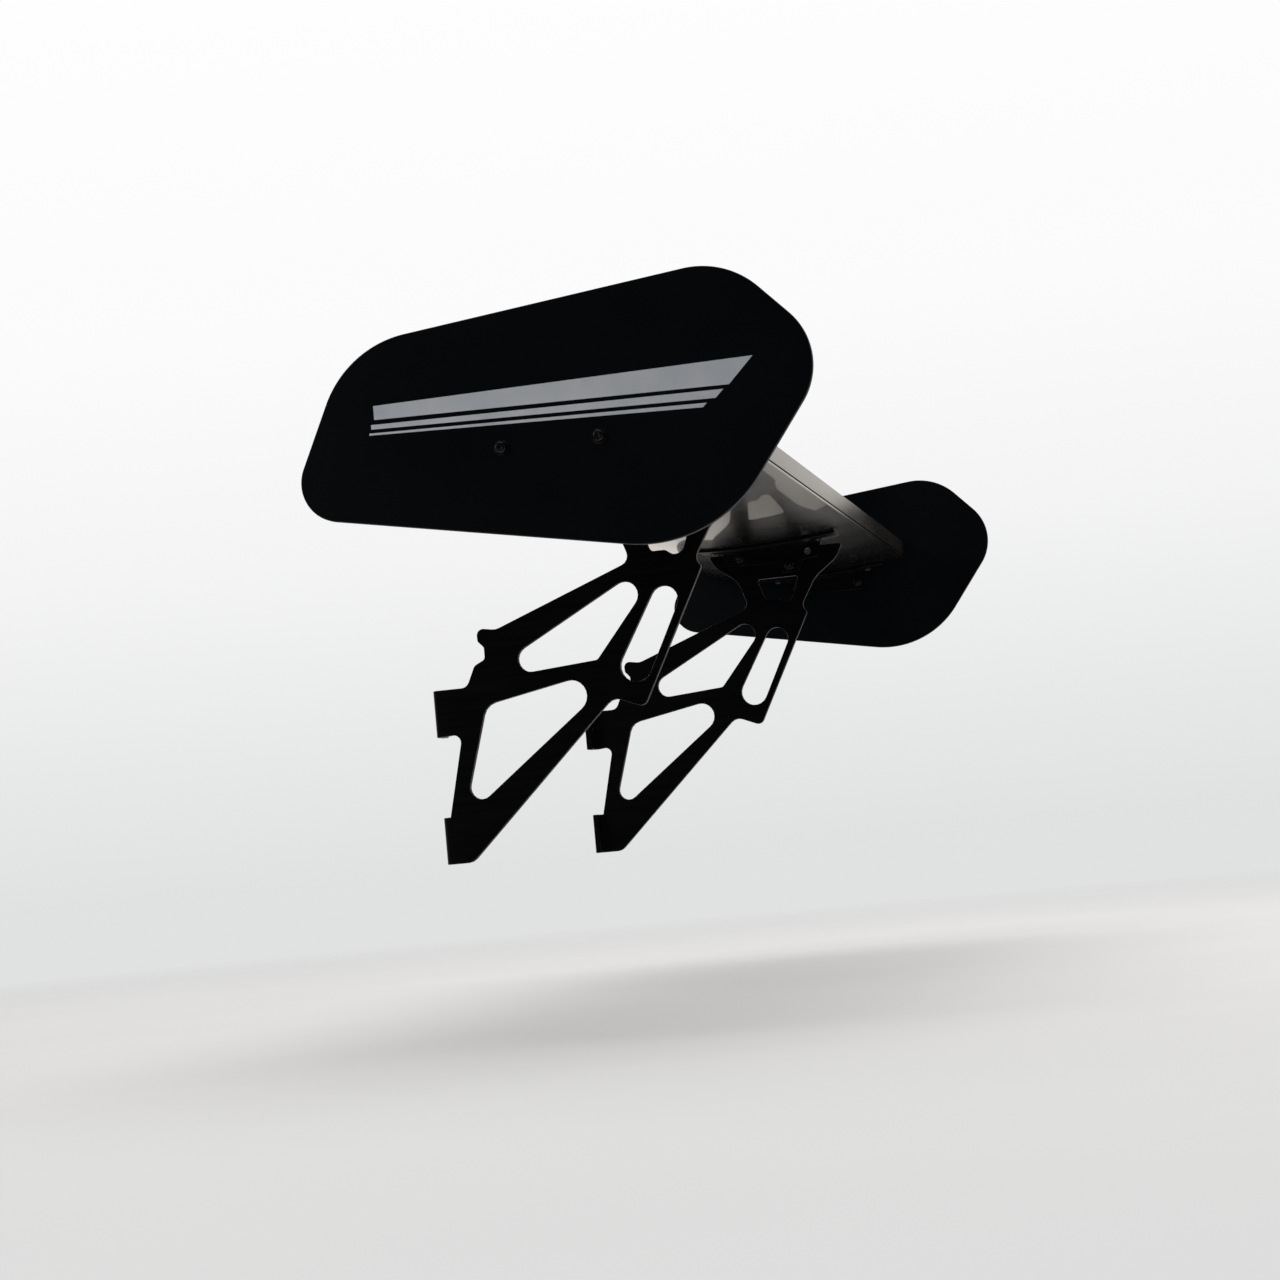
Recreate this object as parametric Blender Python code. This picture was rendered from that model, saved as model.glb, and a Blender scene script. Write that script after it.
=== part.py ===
"""A racing rear wing: an inverted carbon aerofoil with end plates, on two bolted upright plates.

Metres. X runs across the car with +X on the car's left, Y runs rearward from the front faces of the
mounting feet, and Z runs up from the underside of the lower feet.
"""

from math import atan2, cos, degrees, hypot, pi, radians, sin, sqrt, tan

import bmesh
import bpy
from mathutils import Matrix, Vector

MM = 0.001
GAP = 0.3  # the clearance that touching pieces keep; every length here is in millimetres
LAP = 0.02  # how far one shape's faces stay inside the other's where two are joined into one solid

# Spanwise stations.
SPAN_OVER_PLATES = 1505.0
PLATE_THICKNESS = 5.0
UPRIGHT_SPACING = 644.0  # between the middles of the two upright plates
UPRIGHT_THICKNESS = 6.0

# The aerofoil, as seen from the car's left: (Y, Z) of its nose and tail, then its shape.
NOSE = (62.0, 357.5)
TAIL = (333.4, 339.8)
CAMBER = 0.032
CAMBER_PLACE = 0.42
THICKNESS = 0.10
TAIL_THICKNESS = 3.0
SKIN = 2.2
SECTION_STEPS = 24

# The Gurney flap stands on the tail's upper corner.
GURNEY_HEIGHT = 19.0
GURNEY_SHEET = 1.8
GURNEY_FOOT = 14.0

# The hinge line of the angle adjustment runs through the front pair of upright bolts.
PIVOT = (193.6, 318.0)
ADJUSTER = (250.0, 304.0)
SPARE_HOLE = (272.0, 317.8)
SPARE_HOLE_RADIUS = 3.8
ANGLE_DOWN = -2.0
ANGLE_UP = 6.0

# M6 bolts through the plates, and M5 screws up into the wing.
BOLT_RADIUS = 3.0
BOLT_HEAD = (5.25, 3.3)  # radius, height
BOLT_KEY = 2.3
WASHER_RADIUS = 6.0
WASHER_THICKNESS = 1.2
NUT_ACROSS_FLATS = 10.0
NUT_HEIGHT = 5.0
THREAD_SHOWING = 2.0
END_BOLTS = ((193.6, 315.1), (271.6, 315.1))
SCREW_RADIUS = 2.5
SCREW_HEAD = (4.75, 2.7)
SCREW_LENGTH = 11.0
SCREW_BORE = 8.5  # depth of the screw holes from the underside of the wing
SCREW_PLACES = (172.0, 288.0)

# The four angle brackets between the wing and the plates that carry it.
FLANGE_FROM, FLANGE_TO = 153.0, 309.0
FLANGE_THICKNESS = 3.0
FLANGE_WIDTH = 37.0
LEG_THICKNESS = 3.5
RIB_FROM, RIB_TO = 0.32, 0.90  # the ribs' ends, as parts of the chord
RIB_WIDTH = 18.0

# The mounting feet, bent inboard from the front edge of each upright.
FOOT_DEPTH = 26.0
FOOT_BEND = 7.0
FOOT_HEIGHTS = ((0.0, 43.5), (118.0, 161.5))
FOOT_HOLE_RADIUS = 4.25
FOOT_HOLE_INSET = 9.5

# Circles that an end plate's edge wraps round, as (Y, Z, radius), anticlockwise from the lower rear.
END_PLATE = ((306, 336, 108), (387.5, 355, 54), (355, 367.5, 69), (132, 329.5, 84.5), (61.5, 304, 31.5))

# An upright's corners, as (Y, Z, radius of the round), anticlockwise from the lower foot.
UPRIGHT = (
    (8, 0, 0),
    (25.8, 0, 12),
    (171.5, 139, 12),
    (200, 127, 7),
    (264.5, 250, 3.5),
    (258.5, 257.5, 9),
    (277, 288.5, 25),
    (303, 307.5, 16),
    (311, 323.5, 2),
    (157.5, 323.5, 2),
    (164.5, 310, 14),
    (188.5, 292, 22),
    (198.5, 262, 9),
    (66, 212.3, 12),
    (47.5, 215.5, 6),
    (48, 203, 3),
    (53.5, 197, 3),
    (53.5, 186, 4),
    (43, 181, 6),
    (34, 161.5, 8),
    (8, 161.5, 0),
    (8, 118, 0),
    (26, 119.5, 7),
    (9.2, 48.5, 0),
    (8, 43.5, 0),
)
# The uprights' lightening holes, as circles for the edge to wrap round, and the window in the head.
UPRIGHT_HOLES = (
    ((40, 68.5, 11), (132, 143.5, 15), (62.5, 130.5, 15)),
    ((97, 182, 12), (157.5, 179, 4.5), (190.5, 231, 12.5)),
    ((195.5, 165.5, 14.8), (227, 223, 12.8)),
)
UPRIGHT_WINDOW = (
    (211, 292, 2.5),
    (218, 268.5, 5),
    (232, 268.5, 4),
    (240, 262.5, 8),
    (248.5, 266, 6),
    (258, 292, 2.5),
)

UPRIGHT_LEG = ((178, 310, 5), (234, 308.5, 4), (240, 296.5, 5), (260, 296.5, 5), (266, 309.2, 4), (284, 311, 5))
END_LEG = ((182, 306, 6), (283, 306, 6))


# ---------------------------------------------------------------- outlines, in (Y, Z) millimetres


def arc(centre, radius, start, turn, step=9.0):
    """Points of an arc that turns by `turn` degrees from the direction `start`."""
    count = max(1, round(abs(turn) / step))
    points = []
    for i in range(count + 1):
        angle = radians(start + turn * i / count)
        points.append((centre[0] + radius * cos(angle), centre[1] + radius * sin(angle)))
    return points


def circle(centre, radius, count=16):
    return [
        (centre[0] + radius * cos(2 * pi * i / count), centre[1] + radius * sin(2 * pi * i / count))
        for i in range(count)
    ]


def belt(circles, step=6.0):
    """The outline of a belt drawn tight round circles that are given anticlockwise."""
    count = len(circles)
    headings = []
    for i, (y, z, radius) in enumerate(circles):
        next_y, next_z, next_radius = circles[(i + 1) % count]
        run = Vector((next_y - y, next_z - z))
        lean = (radius - next_radius) / run.length
        headings.append(degrees(atan2(run.y, run.x) + atan2(lean, sqrt(1 - lean * lean))))
    points = []
    for i, (y, z, radius) in enumerate(circles):
        start = headings[i - 1] - 90
        points += arc((y, z), radius, start, (headings[i] - headings[i - 1]) % 360, step)
    return points


def rounded(corners, closed=True, step=20.0):
    """A polygon with each corner rounded by its radius."""
    points = []
    count = len(corners)
    for i, (y, z, radius) in enumerate(corners):
        corner = Vector((y, z))
        open_end = not closed and i in (0, count - 1)
        if radius == 0 or open_end:
            points.append((y, z))
            continue
        back = (Vector(corners[i - 1][:2]) - corner).normalized()
        ahead = (Vector(corners[(i + 1) % count][:2]) - corner).normalized()
        half_angle = back.angle(ahead) / 2
        centre = corner + (back + ahead).normalized() * radius / sin(half_angle)
        start = corner + back * radius / tan(half_angle) - centre
        end = corner + ahead * radius / tan(half_angle) - centre
        turn = degrees(atan2(start.x * end.y - start.y * end.x, start.dot(end)))
        points += arc(centre, radius, degrees(atan2(start.y, start.x)), turn, step)
    return points


def about(point, centre, angle):
    """The point turned about the centre by the angle in degrees."""
    turned = Matrix.Rotation(radians(angle), 2) @ (Vector(point) - Vector(centre))
    return tuple(Vector(centre) + turned)


def arc_slot(centre, bolt, low, high, radius):
    """The slot that a bolt needs to swing about the centre between two angles."""
    reach = hypot(bolt[0] - centre[0], bolt[1] - centre[1])
    rest = degrees(atan2(bolt[1] - centre[1], bolt[0] - centre[0]))
    outside = arc(centre, reach + radius, rest + low, high - low, 4.0)
    top = arc(about(bolt, centre, high), radius, rest + high, 180, 22.5)
    inside = arc(centre, reach - radius, rest + high, low - high, 4.0)
    bottom = arc(about(bolt, centre, low), radius, rest + low + 180, 180, 22.5)
    return outside + top[1:-1] + inside + bottom[1:-1]


class Aerofoil:
    """An inverted four-digit section with a blunt tail."""

    def __init__(self, nose, tail):
        self.nose = Vector(nose)
        run = Vector(tail) - self.nose
        self.chord = run.length
        self.along = run.normalized()
        self.up = Vector((-self.along.y, self.along.x))

    def camber(self, x):
        """Depth and slope of the mean line below the chord line."""
        if x < CAMBER_PLACE:
            scale = CAMBER / CAMBER_PLACE**2
            return scale * (2 * CAMBER_PLACE * x - x * x), 2 * scale * (CAMBER_PLACE - x)
        scale = CAMBER / (1 - CAMBER_PLACE) ** 2
        return scale * (1 - 2 * CAMBER_PLACE + 2 * CAMBER_PLACE * x - x * x), 2 * scale * (CAMBER_PLACE - x)

    def half_thickness(self, x):
        series = 0.2969 * sqrt(x) - 0.126 * x - 0.3516 * x**2 + 0.2843 * x**3 - 0.1036 * x**4
        return 5 * THICKNESS * series * self.chord + x * TAIL_THICKNESS / 2

    def point(self, x, side, inset=0.0):
        """A point at x of the chord, on the upper side (+1) or the lower side (-1), moved inward by the inset."""
        depth, slope = self.camber(x)
        mean = self.nose + self.along * (x * self.chord) - self.up * (depth * self.chord)
        across = (self.up + self.along * slope).normalized()
        return tuple(mean + across * side * (self.half_thickness(x) - inset))

    def stations(self, start, end, steps):
        """Chord stations that crowd towards the nose, where the section turns fastest."""
        first, last = sqrt(start), sqrt(end)
        return [(first + (last - first) * i / steps) ** 2 for i in range(steps + 1)]

    def loop(self, start, end, inset=0.0, steps=SECTION_STEPS):
        """Closed outline between two stations, anticlockwise: along the underside, and back over the top."""
        stations = self.stations(start, end, steps)
        under = [self.point(x, -1, inset) for x in stations]
        over = [self.point(x, 1, inset) for x in reversed(stations)]
        if start == 0.0:
            over.pop()
        return under + over

    def under(self, y, drop=0.0):
        """(point, slope angle) on the underside at the place Y, dropped clear along the normal."""
        low, high = 0.0, 1.0
        for _ in range(40):
            middle = (low + high) / 2
            if self.point(middle, -1)[0] < y:
                low = middle
            else:
                high = middle
        here = Vector(self.point(low, -1))
        slope = Vector(self.point(low + 0.01, -1)) - Vector(self.point(low - 0.01, -1))
        normal = Vector((slope.y, -slope.x)).normalized()
        return tuple(here + normal * drop), degrees(atan2(slope.y, slope.x))


WING = Aerofoil(NOSE, TAIL)


# ---------------------------------------------------------------- solids


def finish(mesh):
    """One welded surface that faces out, with its flat faces whole."""
    work = bmesh.new()
    work.from_mesh(mesh)
    bmesh.ops.remove_doubles(work, verts=work.verts, dist=1e-6)
    bmesh.ops.dissolve_limit(work, angle_limit=radians(0.05), verts=work.verts, edges=work.edges)
    bmesh.ops.recalc_face_normals(work, faces=work.faces)
    work.to_mesh(mesh)
    work.free()
    return mesh


def prism(name, loops, x_from, x_to):
    """A plate whose (Y, Z) outline and holes run from one X to another."""
    curve = bpy.data.curves.new(name, "CURVE")
    curve.dimensions = "2D"
    curve.fill_mode = "BOTH"
    curve.extrude = abs(x_to - x_from) / 2 * MM
    for loop in loops:
        spline = curve.splines.new("POLY")
        spline.points.add(len(loop) - 1)
        for place, (y, z) in zip(spline.points, loop):
            place.co = (y * MM, z * MM, 0, 1)
        spline.use_cyclic_u = True
    holder = bpy.data.objects.new(name, curve)
    mesh = bpy.data.meshes.new_from_object(holder)
    bpy.data.objects.remove(holder)
    bpy.data.curves.remove(curve)
    # The curve's own (x, y, z) become the car's (Y, Z, X).
    middle = (x_from + x_to) / 2 * MM
    mesh.transform(Matrix(((0, 0, 1, middle), (1, 0, 0, 0), (0, 1, 0, 0), (0, 0, 0, 1))))
    mesh.name = name
    return finish(mesh)


def lathe(name, profile, count=16):
    """A solid turned about its own +X axis, from (X, radius) points that start and end on the axis."""
    work = bmesh.new()
    rings = []
    for x, radius in profile:
        if radius == 0:
            rings.append([work.verts.new((x * MM, 0, 0))])
            continue
        rings.append([work.verts.new((x * MM, y * MM, z * MM)) for y, z in circle((0, 0), radius, count)])
    for first, second in zip(rings, rings[1:]):
        for i in range(count):
            corners = [first[i % len(first)], first[(i + 1) % len(first)]]
            corners += [second[(i + 1) % len(second)], second[i % len(second)]]
            work.faces.new(dict.fromkeys(corners))
    mesh = bpy.data.meshes.new(name)
    work.to_mesh(mesh)
    work.free()
    return finish(mesh)


def moved(mesh, matrix):
    copy = mesh.copy()
    copy.transform(matrix)
    return copy


def on_side(mesh, side):
    """The mesh as made for the car's left, or its mirror image for the right."""
    return mesh if side > 0 else finish(moved(mesh, Matrix.Scale(-1, 4, (1, 0, 0))))


def combined(mesh, others, operation):
    """The mesh after a Boolean with each of the others, which it uses up."""
    holder = bpy.data.objects.new("holder", mesh)
    bpy.context.scene.collection.objects.link(holder)
    tools = []
    for other in others:
        tool = bpy.data.objects.new("tool", other)
        bpy.context.scene.collection.objects.link(tool)
        boolean = holder.modifiers.new("boolean", "BOOLEAN")
        boolean.operation = operation
        boolean.object = tool
        tools.append(tool)
    graph = bpy.context.evaluated_depsgraph_get()
    result = bpy.data.meshes.new_from_object(holder.evaluated_get(graph))
    result.name = mesh.name
    for spare in [holder, *tools]:
        bpy.data.objects.remove(spare)
    return finish(result)


def cylinder_x(radius, x_from, x_to):
    return prism("cutter", [circle((0, 0), radius)], x_from, x_to)


# ---------------------------------------------------------------- materials and placing


def material(name, colour, roughness, metallic=0.0, coat=0.0):
    made = bpy.data.materials.new(name)
    made.use_nodes = True
    shader = made.node_tree.nodes["Principled BSDF"]
    shader.inputs["Base Color"].default_value = (*colour, 1)
    shader.inputs["Roughness"].default_value = roughness
    shader.inputs["Metallic"].default_value = metallic
    shader.inputs["Coat Weight"].default_value = coat
    return made


def add(name, mesh, look, parent=None, place=None, turn=0.0):
    """A named object. Without a place, its mesh is in the car's frame and its origin goes to its parent's."""
    origin = parent.location if parent else Vector((0, 0, 0))
    if place is None:
        mesh.transform(Matrix.Translation(-origin))
    body = bpy.data.objects.new(name, mesh)
    bpy.context.scene.collection.objects.link(body)
    if place is not None:
        body.location = Vector(place) * MM - origin
        body.rotation_euler = (0, 0, turn)
    body.parent = parent
    if not mesh.materials:
        mesh.materials.append(look)
    return body


# ---------------------------------------------------------------- the pieces


def main_plane_mesh():
    """The hollow skin, open at both ends, with a hole for each screw."""
    half = SPAN_OVER_PLATES / 2 - PLATE_THICKNESS - GAP
    hollow = WING.loop(0.012, 0.93, SKIN)
    skin = prism("main_plane", [WING.loop(0.0, 1.0), hollow], -half, half)
    drills = [placed_screw_hole(x, y) for x in screw_stations() for y in SCREW_PLACES]
    return combined(skin, drills, "DIFFERENCE")


def screw_stations():
    """X of each bracket's row of screws."""
    stations = []
    for side in (-1, 1):
        for face in bracket_faces():
            stations.append(side * (face - LEG_THICKNESS - FLANGE_WIDTH / 2))
    return stations


def bracket_faces():
    """The outboard face of an upright's bracket and of an end plate's, as distances from the middle."""
    upright_face = UPRIGHT_SPACING / 2 - UPRIGHT_THICKNESS / 2 - GAP
    plate_face = SPAN_OVER_PLATES / 2 - PLATE_THICKNESS - GAP
    return upright_face, plate_face


def along_normal(x, y, drop=0.0):
    """Placing matrix whose +X runs up into the wing, square to its underside at (x, y)."""
    (point_y, point_z), slope = WING.under(y, drop)
    place = Matrix.Translation(Vector((x, point_y, point_z)) * MM)
    return place @ Matrix.Rotation(radians(slope), 4, "X") @ Matrix.Rotation(-pi / 2, 4, "Y")


def placed_screw_hole(x, y):
    drill = cylinder_x(SCREW_RADIUS + GAP, -20, SCREW_BORE)
    return moved(drill, along_normal(x, y))


def gurney_mesh():
    """An angle strip: its foot lies on the wing's upper tail, and its blade stands up at the back."""
    half = SPAN_OVER_PLATES / 2 - PLATE_THICKNESS - GAP
    corner = Vector(WING.point(1.0, 1))
    forward = (Vector(WING.point(0.95, 1)) - corner).normalized()
    up = Vector((forward.y, -forward.x))
    top_of_foot = GAP + GURNEY_SHEET
    profile = (
        (0, GAP, 0.3),
        (0, GURNEY_HEIGHT, 0.6),
        (GURNEY_SHEET, GURNEY_HEIGHT, 0.6),
        (GURNEY_SHEET, top_of_foot, 1.5),
        (GURNEY_FOOT, top_of_foot, 0.4),
        (GURNEY_FOOT, GAP, 0.4),
    )
    loop = [tuple(corner + forward * along + up * rise) for along, rise in rounded(profile, step=30.0)]
    return prism("gurney_flap", [loop], -half, half)


def end_plate_mesh():
    outer = SPAN_OVER_PLATES / 2
    holes = [circle(place, BOLT_RADIUS + GAP) for place in END_BOLTS]
    return prism("end_plate", [belt(END_PLATE), *holes], outer - PLATE_THICKNESS, outer)


def foot_mesh(outer, low, high):
    """A strip bent inboard from the plate, with a round on the outside of the bend."""
    outer, low, high = outer - LAP, low + LAP, high - LAP
    inner = outer - UPRIGHT_THICKNESS + 2 * LAP
    tip = outer - FOOT_DEPTH
    back = FOOT_BEND + 3
    corners = (
        (tip, 0, 1.5),
        (outer, 0, FOOT_BEND),
        (outer, back, 0),
        (inner, back, 0),
        (inner, UPRIGHT_THICKNESS, 2),
        (tip, UPRIGHT_THICKNESS, 1.5),
    )
    work = bmesh.new()
    bottom = [work.verts.new((x * MM, y * MM, low * MM)) for x, y in rounded(corners)]
    base = work.faces.new(bottom)
    raised = bmesh.ops.extrude_face_region(work, geom=[base])["geom"]
    tops = [item for item in raised if isinstance(item, bmesh.types.BMVert)]
    bmesh.ops.translate(work, verts=tops, vec=(0, 0, (high - low) * MM))
    mesh = bpy.data.meshes.new("foot")
    work.to_mesh(mesh)
    work.free()
    return finish(mesh)


def upright_mesh():
    middle = UPRIGHT_SPACING / 2
    outer = middle + UPRIGHT_THICKNESS / 2
    inner = middle - UPRIGHT_THICKNESS / 2
    holes = [belt(circles, 18.0) for circles in UPRIGHT_HOLES]
    holes.append(rounded(UPRIGHT_WINDOW))
    holes.append(circle(PIVOT, BOLT_RADIUS + GAP))
    holes.append(circle(SPARE_HOLE, SPARE_HOLE_RADIUS))
    holes.append(arc_slot(PIVOT, ADJUSTER, ANGLE_DOWN, ANGLE_UP, BOLT_RADIUS + GAP))
    plate = prism("upright", [rounded(UPRIGHT), *holes], inner, outer)
    feet = [foot_mesh(outer, low, high) for low, high in FOOT_HEIGHTS]
    whole = combined(plate, feet, "UNION")
    drills = []
    for low, high in FOOT_HEIGHTS:
        place = Vector((outer - FOOT_DEPTH + FOOT_HOLE_INSET, 0, (low + high) / 2)) * MM
        drill = cylinder_x(FOOT_HOLE_RADIUS, -20, 20)
        drills.append(moved(drill, Matrix.Translation(place) @ Matrix.Rotation(pi / 2, 4, "Z")))
    return combined(whole, drills, "DIFFERENCE")


def bracket_mesh(face, leg, holes):
    """An angle bracket: a flange that follows the wing's underside and a leg with the bolt holes."""
    steps = 8
    places = [FLANGE_FROM + (FLANGE_TO - FLANGE_FROM) * i / steps for i in range(steps + 1)]
    top = [WING.under(y, GAP)[0] for y in places]
    bottom = [WING.under(y, GAP + FLANGE_THICKNESS)[0] for y in places]
    inner = face - LEG_THICKNESS
    flange = prism("bracket", [bottom + top[::-1]], inner - FLANGE_WIDTH, face - LAP)
    first, last = leg[0][0] - 4, leg[-1][0] + 4
    root = [WING.under(y, GAP + FLANGE_THICKNESS / 2)[0] for y in places if first < y < last]
    ends = [WING.under(y, GAP + FLANGE_THICKNESS / 2)[0] for y in (first, last)]
    corners = [(*ends[0], 0), *leg, (*ends[1], 0)]
    outline = rounded(corners, closed=False) + root[::-1]
    bores = [circle(place, radius) for place, radius in holes]
    plate = prism("leg", [outline, *bores], inner, face)
    whole = combined(flange, [plate], "UNION")
    station = inner - FLANGE_WIDTH / 2
    return combined(whole, [placed_screw_hole(station, y) for y in SCREW_PLACES], "DIFFERENCE")


def rib_mesh(x):
    """A block inside the skin that the bracket's screws bite into."""
    solid = prism("rib", [WING.loop(RIB_FROM, RIB_TO, SKIN + GAP, 8)], x - RIB_WIDTH / 2, x + RIB_WIDTH / 2)
    return combined(solid, [placed_screw_hole(x, y) for y in SCREW_PLACES], "DIFFERENCE")


def button_screw_mesh(name, head, shank_radius, length, key):
    """A button-head screw along +X: the underside of its head is at 0 and its point at `length`."""
    radius, height = head
    dome = [(-height * cos(radians(a)), radius * (0.45 + 0.55 * sin(radians(a)))) for a in (0, 45, 90)]
    body = lathe(name, [(-height, 0), *dome, (0, shank_radius), (length, shank_radius), (length, 0)])
    socket = prism("socket", [circle((0, 0), key, 6)], -height - 1, -height * 0.35)
    return combined(body, [socket], "DIFFERENCE")


def washer_mesh():
    rim, bore = circle((0, 0), WASHER_RADIUS), circle((0, 0), BOLT_RADIUS + GAP)
    return prism("washer", [rim, bore], -WASHER_THICKNESS / 2, WASHER_THICKNESS / 2)


def nut_mesh():
    flats = circle((0, 0), NUT_ACROSS_FLATS / sqrt(3), 6)
    return prism("nut", [flats, circle((0, 0), BOLT_RADIUS + GAP)], -NUT_HEIGHT / 2, NUT_HEIGHT / 2)


def add_bolt(prefix, side, place, faces, pivot, looks, meshes):
    """A bolt with its washer outside the outer face and its nut inside the inner face."""
    outer, inner = faces
    y, z = place
    turn = pi if side > 0 else 0.0
    washer_x = outer + GAP + WASHER_THICKNESS / 2
    head_x = outer + 2 * GAP + WASHER_THICKNESS
    nut_x = inner - GAP - NUT_HEIGHT / 2
    length = head_x - inner + GAP + NUT_HEIGHT + THREAD_SHOWING
    key = round(length, 1)
    if key not in meshes:
        meshes[key] = button_screw_mesh("bolt", BOLT_HEAD, BOLT_RADIUS, length, BOLT_KEY)
    add(prefix + "_bolt", meshes[key], looks["bolt"], pivot, (side * head_x, y, z), turn)
    add(prefix + "_washer", meshes["washer"], looks["washer"], pivot, (side * washer_x, y, z), turn)
    add(prefix + "_nut", meshes["nut"], looks["nut"], pivot, (side * nut_x, y, z), turn)


def build():
    for old in list(bpy.data.objects):
        bpy.data.objects.remove(old)

    looks = {
        "skin": material("gloss_carbon", (0.012, 0.012, 0.013), 0.18, coat=1.0),
        "plate": material("satin_black_plate", (0.006, 0.008, 0.011), 0.45),
        "upright": material("black_anodised", (0.005, 0.005, 0.006), 0.4, metallic=0.6),
        "bracket": material("black_anodised_bracket", (0.006, 0.006, 0.007), 0.4, metallic=0.6),
        "rib": material("grey_resin", (0.09, 0.09, 0.085), 0.6),
        "bolt": material("black_oxide_steel", (0.02, 0.02, 0.022), 0.35, metallic=0.9),
        "washer": material("black_washer", (0.03, 0.03, 0.032), 0.4, metallic=0.9),
        "nut": material("black_plated_nut", (0.025, 0.024, 0.023), 0.4, metallic=0.9),
    }

    pivot = bpy.data.objects.new("wing_pivot", None)
    pivot.location = Vector((0, *PIVOT)) * MM
    bpy.context.scene.collection.objects.link(pivot)

    add("main_plane", main_plane_mesh(), looks["skin"], pivot)
    add("gurney_flap", gurney_mesh(), looks["skin"], pivot)

    meshes = {"washer": washer_mesh(), "nut": nut_mesh()}
    screw = button_screw_mesh("screw", SCREW_HEAD, SCREW_RADIUS, SCREW_LENGTH, 1.7)
    upright_face, plate_face = bracket_faces()
    spare = (SPARE_HOLE, SPARE_HOLE_RADIUS)
    upright_bores = [(PIVOT, BOLT_RADIUS + GAP), (ADJUSTER, BOLT_RADIUS + GAP), spare]
    end_bores = [(place, BOLT_RADIUS + GAP) for place in END_BOLTS]
    upright_outer = UPRIGHT_SPACING / 2 + UPRIGHT_THICKNESS / 2
    plate_outer = SPAN_OVER_PLATES / 2

    for word, side in (("left", 1), ("right", -1)):
        add(word + "_upright", on_side(upright_mesh(), side), looks["upright"])
        add(word + "_end_plate", on_side(end_plate_mesh(), side), looks["plate"], pivot)

        inboard = bracket_mesh(upright_face, UPRIGHT_LEG, upright_bores)
        add(word + "_upright_bracket", on_side(inboard, side), looks["bracket"], pivot)
        outboard = bracket_mesh(plate_face, END_LEG, end_bores)
        add(word + "_end_bracket", on_side(outboard, side), looks["bracket"], pivot)

        for spot, face in (("upright", upright_face), ("end", plate_face)):
            station = side * (face - LEG_THICKNESS - FLANGE_WIDTH / 2)
            add(f"{word}_{spot}_rib", rib_mesh(station), looks["rib"], pivot)
            for where, y in zip(("front", "rear"), SCREW_PLACES):
                body = add(f"{word}_{spot}_{where}_screw", screw, looks["bolt"], pivot, (0, 0, 0))
                seat = along_normal(station, y, 2 * GAP + FLANGE_THICKNESS)
                body.matrix_basis = Matrix.Translation(-pivot.location) @ seat

        for where, place in zip(("front", "rear"), END_BOLTS):
            faces = (plate_outer, plate_face - LEG_THICKNESS)
            add_bolt(f"{word}_end_{where}", side, place, faces, pivot, looks, meshes)
        for where, place in (("pivot", PIVOT), ("adjuster", ADJUSTER)):
            faces = (upright_outer, upright_face - LEG_THICKNESS)
            add_bolt(f"{word}_{where}", side, place, faces, pivot, looks, meshes)


build()
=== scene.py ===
"""Looks of the racing rear wing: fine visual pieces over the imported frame, procedural materials, studio.

Metres, in the row frame: X runs across the car with +X on the car's left, Y runs rearward and Z up.
"""

from math import asin, atan2, ceil, cos, hypot, pi, radians, sin, sqrt

import bmesh
import bpy
from mathutils import Matrix, Vector


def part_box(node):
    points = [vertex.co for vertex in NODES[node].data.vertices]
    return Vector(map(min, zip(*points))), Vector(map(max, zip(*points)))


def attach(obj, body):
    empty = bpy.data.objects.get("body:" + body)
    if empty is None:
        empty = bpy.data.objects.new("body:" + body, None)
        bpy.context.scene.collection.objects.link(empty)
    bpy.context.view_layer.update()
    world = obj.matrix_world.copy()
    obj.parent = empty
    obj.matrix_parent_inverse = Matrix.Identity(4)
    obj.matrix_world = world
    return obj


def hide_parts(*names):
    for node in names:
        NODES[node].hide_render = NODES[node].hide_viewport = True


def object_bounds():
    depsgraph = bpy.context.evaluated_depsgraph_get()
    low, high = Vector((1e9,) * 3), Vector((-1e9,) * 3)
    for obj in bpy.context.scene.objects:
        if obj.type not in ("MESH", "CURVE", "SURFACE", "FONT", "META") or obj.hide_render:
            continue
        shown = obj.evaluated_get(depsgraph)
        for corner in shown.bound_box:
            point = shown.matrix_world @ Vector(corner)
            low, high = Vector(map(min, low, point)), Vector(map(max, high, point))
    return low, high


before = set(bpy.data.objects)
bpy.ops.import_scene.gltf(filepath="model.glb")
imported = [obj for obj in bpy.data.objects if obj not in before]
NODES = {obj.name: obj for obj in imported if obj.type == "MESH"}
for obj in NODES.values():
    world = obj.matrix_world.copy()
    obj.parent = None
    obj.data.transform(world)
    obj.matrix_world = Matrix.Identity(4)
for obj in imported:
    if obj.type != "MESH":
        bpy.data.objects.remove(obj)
CAD_LOW, CAD_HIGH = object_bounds()
MM = 0.001
WING_BODY = "wing_assembly"

# The wing's section, as in the CAD: millimetres in (Y, Z), seen from the car's left.
NOSE = (62.0, 357.5)
TAIL = (333.4, 339.8)
CAMBER, CAMBER_PLACE = 0.032, 0.42
THICKNESS, TAIL_THICKNESS = 0.10, 3.0
SKIN = 2.2
# The chord stations where the hollow starts and ends.
HOLLOW = (0.004, 0.985)
SECTION_STEPS = 70
SPAN_STEPS = 24
GURNEY = {"foot": 14.0, "sheet": 1.8, "height": 19.0, "gap": 0.3}

# Circles that an end plate's edge wraps round, as (Y, Z, radius) in millimetres.
END_PLATE = ((306, 336, 108), (387.5, 355, 54), (355, 367.5, 69), (132, 329.5, 84.5), (61.5, 304, 31.5))
EDGE_ROUND = 0.7
BOLT_HOLE = 3.3

# How far the CAD's own cut plates have their edges broken, in millimetres.
UPRIGHT_EDGE, BRACKET_EDGE = 0.55, 0.25
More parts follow.
